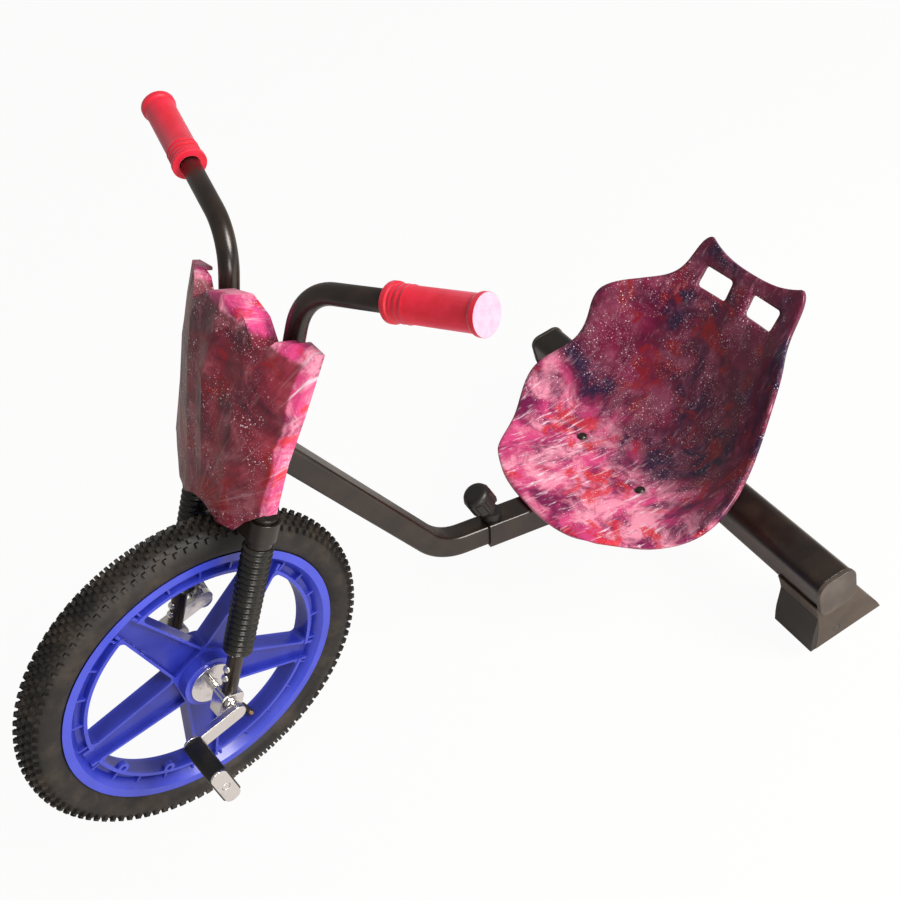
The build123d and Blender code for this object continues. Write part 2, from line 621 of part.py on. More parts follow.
def fairing_form(wall, back):
    """The fairing as a solid that ends at a plane this far ahead of the steering axis."""
    with BuildPart() as form:
        for pair in zip(fairing_sections[:-1], fairing_sections[1:]):
            for height, half in pair:
                front = [(x - wall, y) for x, y in half]
                right_front = [(x, -y) for x, y in front[1:]]
                with BuildSketch(steered(Plane.XY.offset(shell_foot + height))):
                    with BuildLine():
                        Polyline((back, half[-1][1]), *front[::-1], *right_front, (back, -half[-1][1]), close=True)
                    make_face()
            loft(ruled=True)
        with BuildSketch(steered(Plane(origin=(back, 0, shell_foot), x_dir=(0, 1, 0), z_dir=(1, 0, 0)))):
            with BuildLine():
                Polyline(*outline_points(wall), close=True)
            make_face()
        extrude(amount=2 * fairing_sections[-3][1][0][0], mode=Mode.INTERSECT)
    return form.part


shell_foot = crown_low + SHELL_UP
with BuildPart() as fairing:
    add(fairing_form(0, SHELL_BACK))
    add(fairing_form(SHELL_T, SHELL_BACK - SHELL_T), mode=Mode.SUBTRACT)
    # cut back behind, clear of the bar's risers
    with BuildSketch(steered(Plane.XY.offset(shell_foot + fairing_sections[0][0]))):
        Rectangle(2 * BAR_CLEAR, 2 * (RISER_TOP[1] + BAR_D))
    extrude(amount=fairing_sections[-1][0] - fairing_sections[0][0], mode=Mode.SUBTRACT)
write(fairing.part, "front_fairing")


def nose(height, side):
    """How far ahead of the steering axis the shell's inside is, at a height above its foot and to the side."""
    stations = [(h, half[0][0] + (half[1][0] - half[0][0]) * side / half[1][1]) for h, half in fairing_sections]
    for (low, a), (high, b) in zip(stations[:-1], stations[1:]):
        if low <= height <= high:
            return a + (b - a) * (height - low) / (high - low) - SHELL_T


with BuildPart() as fairing_bracket:
    for height, start in ((bar_low, STEM_D / 2), (crown_top - BRACKET_T, CROWN_W / 2)):
        above = height - BRACKET_T / 2 - shell_foot
        reach = min(nose(above, 0), nose(above, BRACKET_W / 2)) - SEAT_GAP
        with BuildSketch(steered(Plane.XY.offset(height - BRACKET_T / 2))):
            with Locations(((start + SEAT_GAP + reach) / 2, 0)):
                Rectangle(reach - start - SEAT_GAP, BRACKET_W)
        extrude(amount=BRACKET_T)
write(fairing_bracket.part, "fairing_bracket")

# ================= clamp knob =================
sleeve_up = Vector(-sin(slope), 0, cos(slope))
knob_foot = mouth - sleeve_dir * KNOB_BACK + sleeve_up * (SLEEVE_W / 2 + SEAT_GAP)
knob_lean = radians(KNOB_LEAN)
knob_dir = sleeve_up * cos(knob_lean) + sleeve_dir * sin(knob_lean)
stem_foot = knob_foot + sleeve_up * KNOB_SINK
knob_plane = Plane(origin=stem_foot, x_dir=(0, 1, 0), z_dir=knob_dir)
with BuildPart() as clamp_knob:
    with BuildSketch(Plane(origin=knob_foot, x_dir=(0, 1, 0), z_dir=sleeve_up)):
        Circle(KNOB_BOSS_D / 2)
    extrude(amount=KNOB_BOSS_H)
    with BuildSketch(knob_plane):
        Circle(KNOB_NECK_D / 2)
    extrude(amount=KNOB_H - KNOB_ROUND)
    # domed head with a fluted skirt
    with BuildSketch(knob_plane.offset(KNOB_H - KNOB_HEAD_H)):
        Circle(KNOB_D / 2)
        with PolarLocations(KNOB_D / 2 + 1, KNOB_FLUTES):
            Circle(KNOB_FLUTE_R, mode=Mode.SUBTRACT)
    extrude(amount=KNOB_HEAD_H - KNOB_ROUND)
    with BuildSketch(knob_plane.offset(KNOB_H - KNOB_ROUND)):
        Circle(KNOB_D / 2 - 1)
    extrude(amount=KNOB_ROUND)
    fillet(clamp_knob.faces().sort_by(Axis(stem_foot, knob_dir))[-1].edges(), radius=KNOB_ROUND - 1)
write(clamp_knob.part, "clamp_knob")

# ================= seat =================
# stations from the front lip over the pan and up the back: centre (ahead, up), edge (ahead, side, up)
seat_stations = (
    ((204, 163), (183, 101, 160)),
    ((160, 153), (148, 133, 154)),
    ((115, 142), (102, 173, 160)),
    ((70, 136), (62, 184, 178)),
    ((25, 140), (22, 172, 190)),
    ((-15, 154), (-3, 165, 211)),
    ((-50, 178), (-18, 163, 238)),
    ((-78, 208), (-38, 155, 257)),
    ((-101, 238), (-74, 128, 262)),
    ((-120, 262), (-108, 101, 266)),
    ((-132, 277), (-132, 92, 283)),
    ((-144, 292), (-153, 78, 303)),
)
ACROSS = 8              # columns each side of the seat's middle


def seat_point(station, share):
    """A point of the seat's upper surface, from its left edge at -1 to its right edge at +1."""
    (centre_x, centre_z), (edge_x, edge_y, edge_z) = station
    lift = abs(share) ** 2.6
    return Vector(REAR_X + centre_x + (edge_x - centre_x) * lift, edge_y * share,
                  centre_z + (edge_z - centre_z) * lift)


seat_grid = [[seat_point(station, column / ACROSS) for column in range(-ACROSS, ACROSS + 1)]
             for station in seat_stations]
seat_face = Face.make_surface_from_array_of_points(seat_grid, tol=0.4)

(below_x, below_z), (notch_x, notch_z) = seat_stations[-3][0], seat_stations[-1][0]
back_up = Vector(notch_x - below_x, 0, notch_z - below_z).normalized()
slots_at = Vector(REAR_X + notch_x, 0, notch_z) - back_up * SLOT_BELOW
strap_x = REAR_X + SEAT_BOLT_X
with BuildPart() as seat_shell:
    thicken(seat_face, amount=SEAT_T)
    # two hand slots through the top of the back
    with BuildSketch(Plane(origin=slots_at, x_dir=(0, 1, 0), z_dir=back_up.cross(Vector(0, 1, 0)))):
        with Locations((-(SLOT_IN + SLOT_OUT) / 2, 0), ((SLOT_IN + SLOT_OUT) / 2, 0)):
            RectangleRounded(SLOT_OUT - SLOT_IN, SLOT_H, 5)
    extrude(amount=SLOT_BELOW, both=True, mode=Mode.SUBTRACT)
    # bolt holes down to the bracket
    with BuildSketch(Plane.XY):
        with Locations((strap_x, SEAT_BOLT_Y), (strap_x, -SEAT_BOLT_Y)):
            Circle(SEAT_BOLT_D / 2)
    extrude(amount=2 * notch_z, mode=Mode.SUBTRACT)
write(seat_shell.part, "seat_shell")

strap_top = mouth.Z - (mouth.X - strap_x) * tan(slope) + SLEEVE_W / 2 / cos(slope)
with BuildPart() as seat_bracket:
    with BuildSketch(Plane(origin=(strap_x, 0, strap_top + SEAT_GAP), x_dir=(0, 1, 0), z_dir=sleeve_up)):
        SlotCenterToCenter(2 * SEAT_BOLT_Y, SEAT_STRAP_W)
        with Locations((SEAT_BOLT_Y, 0), (-SEAT_BOLT_Y, 0)):
            Circle(SEAT_BOLT_D / 2, mode=Mode.SUBTRACT)
    extrude(amount=SEAT_STRAP_T)
write(seat_bracket.part, "seat_bracket")
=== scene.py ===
import json
from math import atan2, cos, pi, radians, sin

import bmesh
import bpy
from mathutils import Matrix, Quaternion, Vector


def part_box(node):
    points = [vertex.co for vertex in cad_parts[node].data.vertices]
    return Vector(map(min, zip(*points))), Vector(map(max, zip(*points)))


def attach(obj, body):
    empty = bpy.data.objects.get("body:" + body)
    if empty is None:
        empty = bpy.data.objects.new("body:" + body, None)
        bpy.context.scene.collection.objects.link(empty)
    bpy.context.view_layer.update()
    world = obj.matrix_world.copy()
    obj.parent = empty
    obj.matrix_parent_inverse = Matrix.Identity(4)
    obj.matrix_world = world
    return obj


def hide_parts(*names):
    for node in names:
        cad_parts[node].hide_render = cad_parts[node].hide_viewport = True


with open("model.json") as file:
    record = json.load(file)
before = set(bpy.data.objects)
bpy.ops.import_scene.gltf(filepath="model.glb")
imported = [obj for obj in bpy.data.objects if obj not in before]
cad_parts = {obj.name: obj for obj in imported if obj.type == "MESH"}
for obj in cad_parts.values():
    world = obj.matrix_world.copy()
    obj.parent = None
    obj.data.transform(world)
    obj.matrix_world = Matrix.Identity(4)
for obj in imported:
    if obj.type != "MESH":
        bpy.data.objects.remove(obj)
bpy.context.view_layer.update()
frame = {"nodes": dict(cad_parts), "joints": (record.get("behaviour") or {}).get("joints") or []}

# ---------------------------------------------------------------- studio
# The scooter stands on a pale floor that runs out of sight, under one large soft lamp behind its
# left rear corner, a weaker one at its left and an even white room.

EYE = Vector((0.1556, 0.8637, 1.0939))
AIM = Vector((-0.0899, -0.0991, 0.2000))
ROLL = radians(-20.83)
LENS_MM = 43.87
FLOOR_REACH = 6.0
FLOOR_DROP = 0.0005       # floor below the wheels, so that they don't share a plane
FLOOR_SEEN_WHITE = 0.95   # how far the floor fades to plain white in direct view
ROOM_LIGHT = 0.30
ROOM_SEEN = 1.00          # how bright the room itself looks
LAMP_AIM = Vector((0, 0, 0.25))
LAMPS = (("key_lamp", (-1.3, 1.5, 1.7), 1.1, 66.0),
         ("side_lamp", (0.2, 2.3, 0.8), 0.9, 22.0))

scene = bpy.context.scene
scene.view_settings.view_transform = "Standard"

camera = bpy.data.objects.new("camera", bpy.data.cameras.new("camera"))
camera.data.lens = LENS_MM
camera.location = EYE
camera.rotation_mode = "QUATERNION"
camera.rotation_quaternion = (AIM - EYE).to_track_quat("-Z", "Y") @ Quaternion((0, 0, 1), ROLL)
scene.collection.objects.link(camera)
scene.camera = camera


class Wire:
    """One output of a material's node tree. Arithmetic on it adds Math nodes, and tap adds any other node."""

    def __init__(self, tree, socket):
        self.tree, self.socket = tree, socket

    def tap(self, kind, feeds, out=0, **settings):
        """Adds a node, links or sets the inputs named in feeds, and gives one of its outputs."""
        node = self.tree.nodes.new("ShaderNode" + kind)
        for name, value in settings.items():
            setattr(node, name, value)
        for slot, value in feeds.items():
            if isinstance(value, Wire):
                self.tree.links.new(value.socket, node.inputs[slot])
            else:
                node.inputs[slot].default_value = value
        return Wire(self.tree, node.outputs[out])

    def maths(self, operation, other=0.0):
        return self.tap("Math", {0: self, 1: other}, operation=operation)

    def __add__(self, other):
        return self.maths("ADD", other)

    def __sub__(self, other):
        return self.maths("SUBTRACT", other)

    def __mul__(self, other):
        return self.maths("MULTIPLY", other)

    def __pow__(self, other):
        return self.maths("POWER", other)

    def band(self, low, high):
        """Rises smoothly from 0 at low to 1 at high."""
        return self.tap("MapRange", {"Value": self, "From Min": low, "From Max": high},
                        interpolation_type="SMOOTHSTEP")

    def mix(self, first, second):
        """A colour between two, by this wire."""
        return self.tap("Mix", {0: self, 6: first, 7: second}, out=2, data_type="RGBA")

    def along(self, x, y, z):
        """How far these coordinates go in a direction."""
        return self.tap("VectorMath", {0: self, 1: (x, y, z)}, out="Value", operation="DOT_PRODUCT")

    def stretch(self, x, y, z):
        """These coordinates, each times its own factor."""
        return self.tap("VectorMath", {0: self, 1: (x, y, z)}, operation="MULTIPLY")

    def noise(self, scale, detail=2.0, roughness=0.5, distortion=0.0):
        """Cloudy noise from 0 to 1 at these coordinates."""
        return self.tap("TexNoise", {"Vector": self, "Scale": scale, "Detail": detail,
                                     "Roughness": roughness, "Distortion": distortion})

    def bump(self, depth, strength=1.0):
        """A normal from this wire as a height of so many metres."""
        return self.tap("Bump", {"Height": self, "Distance": depth, "Strength": strength})

    def into(self, shader, slot):
        """Links this wire to one of the shader's inputs."""
        self.tree.links.new(self.socket, shader.inputs[slot])


def new_finish(name, colour, roughness, **steady):
    """A material, its shader and the object's coordinates. The colour and the roughness are averages that
    the wires go round, and the other steady values go on the shader's own sockets."""
    made = bpy.data.materials.new(name)
    made.use_nodes = True
    tree = made.node_tree
    shader = tree.nodes["Principled BSDF"]
    shader.inputs["Base Color"].default_value = (*colour, 1)
    shader.inputs["Roughness"].default_value = roughness
    for slot, value in steady.items():
        shader.inputs[slot.replace("_", " ")].default_value = value
    return made, shader, Wire(tree, tree.nodes.new("ShaderNodeTexCoord").outputs["Object"])


def shaped(name, form, paint, corner):
    """Turns a bmesh into a smooth object with sharp edges above the corner angle."""
    mesh = bpy.data.meshes.new(name)
    form.to_mesh(mesh)
    form.free()
    for face in mesh.polygons:
        face.use_smooth = True
    mesh.set_sharp_from_angle(angle=radians(corner))
    mesh.materials.append(paint)
    made = bpy.data.objects.new(name, mesh)
    scene.collection.objects.link(made)
    return made


floor_paint, shader, place = new_finish("floor_paint", (0.78, 0.75, 0.72), 0.8)
(place.noise(6.0, 3.0) * 0.06 + 0.78).into(shader, "Roughness")
tree = floor_paint.node_tree
rays = tree.nodes.new("ShaderNodeLightPath")
white = tree.nodes.new("ShaderNodeEmission")
seen = tree.nodes.new("ShaderNodeMixShader")
(Wire(tree, rays.outputs["Is Camera Ray"]) * FLOOR_SEEN_WHITE).into(seen, 0)
tree.links.new(shader.outputs[0], seen.inputs[1])
tree.links.new(white.outputs[0], seen.inputs[2])
tree.links.new(seen.outputs[0], tree.nodes["Material Output"].inputs[0])

form = bmesh.new()
bmesh.ops.create_grid(form, x_segments=1, y_segments=1, size=FLOOR_REACH)
floor = shaped("floor", form, floor_paint, 30)
floor.location.z = -FLOOR_DROP

scene.world = bpy.data.worlds.new("room")
scene.world.use_nodes = True
tree = scene.world.node_tree
rays = tree.nodes.new("ShaderNodeLightPath")
room = tree.nodes["Background"]
room.inputs["Color"].default_value = (1.0, 0.97, 0.94, 1)
direct = Wire(tree, rays.outputs["Is Camera Ray"])
(direct * (ROOM_SEEN - ROOM_LIGHT) + ROOM_LIGHT).into(room, "Strength")

for name, spot, size, watts in LAMPS:
    lamp = bpy.data.objects.new(name, bpy.data.lights.new(name, "AREA"))
    lamp.data.energy = watts
    lamp.data.size = size
    lamp.data.color = (1.0, 0.96, 0.92)
    lamp.location = spot
    lamp.rotation_mode = "QUATERNION"
    lamp.rotation_quaternion = (LAMP_AIM - lamp.location).to_track_quat("-Z", "Y")
    scene.collection.objects.link(lamp)

# ---------------------------------------------------------------- rear frame
# A square cross tube with a square sleeve welded to its middle, both of steel under glossy black paint,
# and a bent square tube that slides in the sleeve and carries the head tube.

CAD_WELD = 0.00002        # the CAD's loose triangles are merged within this
FLAT_ENOUGH = radians(0.8)


def round_edges(made, width, corner, even_shading):
    """Rounds a piece's edges above the corner angle."""
    edges = made.modifiers.new("edges", "BEVEL")
    edges.width = width
    edges.segments = 2
    edges.limit_method = "ANGLE"
    edges.angle_limit = radians(corner)
    edges.harden_normals = even_shading


def surface(node, body, paint, bevel=0.0, corner=32):
    """A CAD node's own surface, merged into one smooth mesh with rounded edges, standing for the node."""
    form = bmesh.new()
    form.from_mesh(frame["nodes"][node].data)
    bmesh.ops.remove_doubles(form, verts=form.verts, dist=CAD_WELD)
    if bevel:
        bmesh.ops.dissolve_limit(form, angle_limit=FLAT_ENOUGH, verts=form.verts, edges=form.edges)
    made = shaped(node + "_finished", form, paint, corner)
    if bevel:
        round_edges(made, bevel, corner, True)
    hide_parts(node)
    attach(made, body)
    return made


black_paint, shader, place = new_finish("black_paint", (0.010, 0.007, 0.006), 0.28, Coat_Weight=0.25,
                                        Coat_Roughness=0.15)
haze = place.noise(38.0, 3.0)
haze.band(0.35, 0.75).mix((0.010, 0.006, 0.004, 1), (0.024, 0.014, 0.009, 1)).into(shader, "Base Color")
(haze * 0.16 + 0.22).into(shader, "Roughness")
place.noise(900.0, 1.0).bump(0.00004, 0.5).into(shader, "Normal")

for node in ("rear_cross_tube", "rear_sleeve_tube", "seat_bracket"):
    surface(node, "frame", black_paint, bevel=0.0008)
for node in ("front_bent_tube", "head_tube"):
    surface(node, "front_frame", black_paint, bevel=0.0006)

# ---------------------------------------------------------------- end caps, housings and rollers
# A moulded saddle under each end of the cross tube covers a hard pale roller on a black bolt. Its curved
# apron closes the front, coloured near black as painted shade, and a lighter moulded cap closes the tube
# above it.

satin_plastic, shader, place = new_finish("satin_plastic", (0.040, 0.031, 0.023), 0.5)
stain = place.noise(16.0, 4.0)
stain.band(0.35, 0.7).mix((0.034, 0.023, 0.015, 1), (0.068, 0.047, 0.032, 1)).into(shader, "Base Color")
(place.noise(24.0, 3.0) * 0.2 + 0.42).into(shader, "Roughness")
place.noise(1400.0, 2.0).bump(0.00008, 0.7).into(shader, "Normal")

cap_plastic, shader, place = new_finish("cap_plastic", (0.070, 0.055, 0.045), 0.45)
stain = place.noise(40.0, 3.0)
stain.band(0.3, 0.7).mix((0.050, 0.038, 0.031, 1), (0.088, 0.070, 0.058, 1)).into(shader, "Base Color")
place.noise(1400.0, 2.0).bump(0.00006, 0.6).into(shader, "Normal")

# painted shade: the apron's plastic is darker than the housing's so that the housing's front reads as shaded;
# its noise is random tone
apron_shade_plastic, shader, place = new_finish("apron_shade_plastic", (0.014, 0.011, 0.009), 0.55)
stain = place.noise(22.0, 4.0)
stain.band(0.35, 0.7).mix((0.009, 0.007, 0.006, 1), (0.020, 0.016, 0.012, 1)).into(shader, "Base Color")
place.noise(1400.0, 2.0).bump(0.00008, 0.7).into(shader, "Normal")

roller_plastic, shader, place = new_finish("roller_plastic", (0.66, 0.62, 0.54), 0.4)
scuff = place.noise(120.0, 5.0, 0.65)
scuff.band(0.45, 0.7).mix((0.70, 0.66, 0.58, 1), (0.42, 0.38, 0.32, 1)).into(shader, "Base Color")
(scuff * 0.3 + 0.3).into(shader, "Roughness")
scuff.bump(0.0002, 0.4).into(shader, "Normal")

# each level of the apron: its height, where its front stands and how far its ends reach back
APRON_LEVELS = ((0.0180, -0.2950, 0.012), (0.0310, -0.2968, 0.012), (0.0410, -0.2990, 0.012),
                (0.0500, -0.3020, 0.010), (0.0600, -0.3055, 0.007), (0.0680, -0.3078, 0.004))
APRON_WALL = 0.0026
APRON_CHEEK = 0.0095      # its thicker ends, along the cross tube
APRON_INSET = 0.0003      # its ends inside the housing's
APRON_CORNER = 50
NEW_WELD = 0.00001        # new pieces are merged within this
for side in ("left", "right"):
    surface(side + "_rear_housing", "frame", satin_plastic, bevel=0.0022)
    surface(side + "_end_cap", "frame", cap_plastic, bevel=0.0012)
    surface(side + "_rear_axle", "frame", black_paint, bevel=0.0005)
    surface(side + "_rear_wheel", side + "_rear_wheel", roller_plastic, bevel=0.0015)
    low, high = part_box(side + "_rear_housing")
    near, far = low[1] + APRON_INSET, high[1] - APRON_INSET
    form = bmesh.new()
    for number, (height, front, reach) in enumerate(APRON_LEVELS):
        back, inner = front - reach, front - APRON_WALL
        plan = ((front, near), (front, far), (back, far), (back, far - APRON_CHEEK),
                (inner, far - APRON_CHEEK), (inner, near + APRON_CHEEK), (back, near + APRON_CHEEK),
                (back, near))
        if number == 0:
            top = form.faces.new([form.verts.new((ahead, across, height)) for ahead, across in plan])
            bmesh.ops.duplicate(form, geom=[top])
            continue
        grown = bmesh.ops.extrude_face_region(form, geom=[top])["geom"]
        bmesh.ops.delete(form, geom=[top], context="FACES_ONLY")
        top = [part for part in grown if isinstance(part, bmesh.types.BMFace)][0]
        for corner, (ahead, across) in zip(top.verts, plan):
            corner.co = (ahead, across, height)
    bmesh.ops.remove_doubles(form, verts=form.verts, dist=NEW_WELD)
    bmesh.ops.recalc_face_normals(form, faces=form.faces)
    apron = shaped(side + "_housing_apron", form, apron_shade_plastic, APRON_CORNER)
    round_edges(apron, 0.0008, APRON_CORNER, False)
    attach(apron, "frame")

# ---------------------------------------------------------------- clamp knob
# A fluted black hand knob on a leaning stem, which clamps the sliding tube in its sleeve. It is one
# hard plastic moulding.

knob_plastic, shader, place = new_finish("knob_plastic", (0.012, 0.010, 0.009), 0.4)
(place.noise(90.0, 3.0) * 0.2 + 0.32).into(shader, "Roughness")
place.noise(1200.0, 2.0).bump(0.00006, 0.6).into(shader, "Normal")
surface("clamp_knob", "frame", knob_plastic, bevel=0.0009)

# ---------------------------------------------------------------- front tyre
# A knobbly black rubber tyre with small block lugs in staggered rows, down to its shoulders, and plain
# dusty sidewalls. It is pressed over the rim's bead seats.

joints = {}
for row in frame["joints"]:
    joints[row["name"]] = row
up_axis = Vector(joints["steering_turn"]["axis"])
left_axis = Vector(joints["front_wheel_spin"]["axis"])
ahead_axis = left_axis.cross(up_axis)
hub = Vector(joints["front_wheel_spin"]["pos_m"])
steered = Matrix((ahead_axis, left_axis, up_axis)).transposed().to_4x4()
steered.translation = hub

tyre_rubber, shader, place = new_finish("tyre_rubber", (0.012, 0.010, 0.008), 0.62)
dust = place.noise(26.0, 6.0, 0.68)
dust.band(0.40, 0.72).mix((0.007, 0.006, 0.005, 1), (0.045, 0.034, 0.025, 1)).into(shader, "Base Color")
(dust * 0.3 + 0.45).into(shader, "Roughness")
(place.noise(700.0, 3.0) + dust * 0.6).bump(0.00018, 0.6).into(shader, "Normal")

# half the tyre's section, (out from the axle, across) in metres, from its crown to its bead
CROWN = ((0.1988, 0.0000), (0.1984, 0.0052), (0.1967, 0.0103), (0.1930, 0.0150), (0.1872, 0.0187))
SIDEWALL = ((0.1835, 0.0203), (0.1800, 0.0211), (0.1760, 0.0213), (0.1716, 0.0209), (0.1675, 0.0193),
            (0.1636, 0.0153), (0.1605, 0.0129), (0.1574, 0.0118))
LUG_STEPS = 208           # steps round the tyre, every second one a lug
LUG_RISE = 0.0039
LUG_FOOT = 0.0006         # the lug's foot inside its step
LUG_TAPER = 0.80          # the lug's top to its foot
half_section = CROWN + SIDEWALL
section = [(out, -across) for out, across in reversed(half_section[1:])] + list(half_section)
form = bmesh.new()
ring = [form.verts.new((out, across, 0)) for out, across in section]
for first, second in zip(ring, ring[1:] + ring[:1]):
    form.edges.new((first, second))
bmesh.ops.spin(form, geom=form.verts[:] + form.edges[:], axis=(0, 1, 0), cent=(0, 0, 0), angle=2 * pi,
               steps=LUG_STEPS, use_merge=True)
bmesh.ops.remove_doubles(form, verts=form.verts, dist=NEW_WELD)
bmesh.ops.recalc_face_normals(form, faces=form.faces)
lugs = []
for face in form.faces:
    middle = face.calc_center_median()
    if (middle.x**2 + middle.z**2)**0.5 < CROWN[-1][0]:
        continue
    step = int((atan2(middle.z, middle.x) / (2 * pi) + 1) * LUG_STEPS)
    row = sum(abs(middle.y) > across for _, across in CROWN)
    if (step + row + (middle.y > 0)) % 2:
        lugs.append(face)
bmesh.ops.inset_individual(form, faces=lugs, thickness=LUG_FOOT, use_even_offset=True)
for face in bmesh.ops.extrude_discrete_faces(form, faces=lugs)["faces"]:
    middle, lift = face.calc_center_median(), face.normal * LUG_RISE
    for corner in face.verts:
        corner.co = middle + (corner.co - middle) * LUG_TAPER + lift
bmesh.ops.transform(form, matrix=steered, verts=form.verts)
tyre = shaped("knobbly_tyre", form, tyre_rubber, 30)
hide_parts("front_tyre")
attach(tyre, "front_wheel")

# ---------------------------------------------------------------- front wheel
# One blue moulding: a deep ribbed rim, five channelled spokes and two eyed ears, with a plated disc on
# each side of its hub and a plated axle through it. Its hollows are painted darker than its flanges, as
# painted shade.

# painted shade: the blue is darker in the hollows near the wheel's middle plane and lighter out on the
# flanges
HOLLOW, FLANGE = 0.004, 0.016     # from the wheel's middle plane
blue_plastic, shader, place = new_finish("blue_plastic", (0.026, 0.036, 0.44), 0.3, Coat_Weight=0.4,
                                         Coat_Roughness=0.2)
swirl = place.noise(20.0, 4.0, 0.55, 0.4)
off_middle = (place.along(*left_axis) - hub.dot(left_axis)).maths("ABSOLUTE")
# painted shade and highlight by depth from the middle plane, mixed with random swirls of tone
painted_shade_and_swirl = off_middle.band(HOLLOW, FLANGE) * 0.7 + swirl.band(0.3, 0.75) * 0.3
painted_shade_and_swirl.mix((0.010, 0.018, 0.26, 1), (0.052, 0.075, 0.63, 1)).into(shader, "Base Color")
(swirl * 0.2 + 0.24).into(shader, "Roughness")
place.noise(500.0, 2.0).bump(0.00006, 0.4).into(shader, "Normal")

bright_plate, shader, place = new_finish("bright_plate", (0.80, 0.78, 0.75), 0.16, Metallic=1.0)
smear = place.noise(55.0, 4.0, 0.6)
smear.band(0.55, 0.8).mix((0.86, 0.84, 0.82, 1), (0.62, 0.58, 0.54, 1)).into(shader, "Base Color")
(smear.band(0.3, 0.8) * 0.22 + 0.10).into(shader, "Roughness")
place.noise(420.0, 2.0).bump(0.00005, 0.5).into(shader, "Normal")

surface("front_wheel", "front_wheel", blue_plastic, bevel=0.0007, corner=30)
surface("wheel_axle", "front_wheel", bright_plate, bevel=0.0005)
for side in ("left", "right"):
    surface(side + "_hub_plate", "front_wheel", bright_plate, bevel=0.0006)

# ---------------------------------------------------------------- valve
# A black rubber valve on a brass foot. It stands in the rim's inner lip, between two spokes, and points
# at the hub.

VALVE_TURN = radians(-130)
VALVE_REACH = 0.1355      # its foot from the wheel's axis
VALVE_STEP = 0.0105       # the rubber starts this far along the foot
FOOT_PROFILE = ((0, 0), (0.0042, 0), (0.0042, 0.004), (0.0030, 0.006), (0.0030, 0.011), (0, 0.011))
RUBBER_PROFILE = ((0, 0), (0.0038, 0), (0.0040, 0.002), (0.0036, 0.015), (0.0024, 0.018), (0, 0.0185))


def spun(name, profile, foot, way, body, paint, steps=32):
    """A turned piece: its profile's (radius, height) points in metres, spun about the line that starts at
    foot and goes along way."""
    form = bmesh.new()
    points = [form.verts.new((radius, 0, height)) for radius, height in profile]
    for first, second in zip(points[:-1], points[1:]):
        form.edges.new((first, second))
    bmesh.ops.spin(form, geom=form.verts[:] + form.edges[:], axis=(0, 0, 1), cent=(0, 0, 0), angle=2 * pi,
                   steps=steps, use_merge=True)
    bmesh.ops.remove_doubles(form, verts=form.verts, dist=NEW_WELD)
    bmesh.ops.recalc_face_normals(form, faces=form.faces)
    turn = way.to_track_quat("Z", "Y").to_matrix().to_4x4()
    turn.translation = foot
    bmesh.ops.transform(form, matrix=turn, verts=form.verts)
    made = shaped(name, form, paint, 40)
    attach(made, body)
    return made


valve_brass, shader, place = new_finish("valve_brass", (0.55, 0.36, 0.14), 0.3, Metallic=1.0)
(place.noise(300.0, 3.0) * 0.3 + 0.2).into(shader, "Roughness")
valve_rubber, shader, place = new_finish("valve_rubber", (0.012, 0.011, 0.010), 0.5)
(place.noise(500.0, 2.0) * 0.2 + 0.4).into(shader, "Roughness")

outwards = (steered.to_3x3() @ Vector((cos(VALVE_TURN), 0, sin(VALVE_TURN)))).normalized()
valve_foot = hub + outwards * VALVE_REACH
spun("valve_foot", FOOT_PROFILE, valve_foot, -outwards, "front_wheel", valve_brass)
spun("valve_cap", RUBBER_PROFILE, valve_foot - outwards * VALVE_STEP, -outwards, "front_wheel",
     valve_rubber)

# ---------------------------------------------------------------- fork
# Black painted crown and legs over ribbed rubber boots. A plated clamp block at each tip holds the
# axle, with a bearing collar outside it and two dome-headed screws in the tip.

LEG_ACROSS = 0.057        # each leg from the wheel's middle plane
SCREW_AHEAD = 0.0084      # the screws' heads sit this far ahead of the leg's axis
SCREW_HEIGHTS = (0.034, 0.046)
COLLAR_ACROSS = 0.0671
SCREW_PROFILE = ((0, 0.0036), (0.0026, 0.0030), (0.0043, 0.0012), (0.0044, -0.0015), (0, -0.0015))
COLLAR_PROFILE = ((0.0064, 0), (0.0105, 0), (0.0105, 0.0012), (0.0088, 0.0016), (0.0088, 0.0030),
                  (0.0064, 0.0034), (0.0064, 0))

boot_rubber, shader, place = new_finish("boot_rubber", (0.008, 0.007, 0.006), 0.26)
stain = place.noise(40.0, 3.0)
stain.band(0.35, 0.7).mix((0.006, 0.007, 0.006, 1), (0.020, 0.017, 0.014, 1)).into(shader, "Base Color")
(place.noise(60.0, 3.0) * 0.16 + 0.18).into(shader, "Roughness")
place.noise(900.0, 2.0).bump(0.00006, 0.5).into(shader, "Normal")

surface("fork_crown", "steering", black_paint, bevel=0.0010)
for side, sign in (("left", 1), ("right", -1)):
    surface(side + "_fork_leg", "steering", black_paint, bevel=0.0010)
    surface(side + "_fork_boot", "steering", boot_rubber, bevel=0.0005)
    surface(side + "_fork_tip", "steering", black_paint, bevel=0.0008)
    surface(side + "_dropout", "steering", bright_plate, bevel=0.0014)
    for number, height in enumerate(SCREW_HEIGHTS):
        spot = steered @ Vector((SCREW_AHEAD, sign * LEG_ACROSS, height))
        spun(f"{side}_tip_screw_{number}", SCREW_PROFILE, spot, ahead_axis, "steering", bright_plate,
             24)
    spot = steered @ Vector((0, sign * COLLAR_ACROSS, 0))
    spun(side + "_axle_collar", COLLAR_PROFILE, spot, left_axis * sign, "steering", bright_plate)

# ---------------------------------------------------------------- cranks and pedals
# Flat plated steel cranks on the ends of the axle. Each carries a pedal, a black rubber block between
# two plated end plates, which turns on its own spindle.

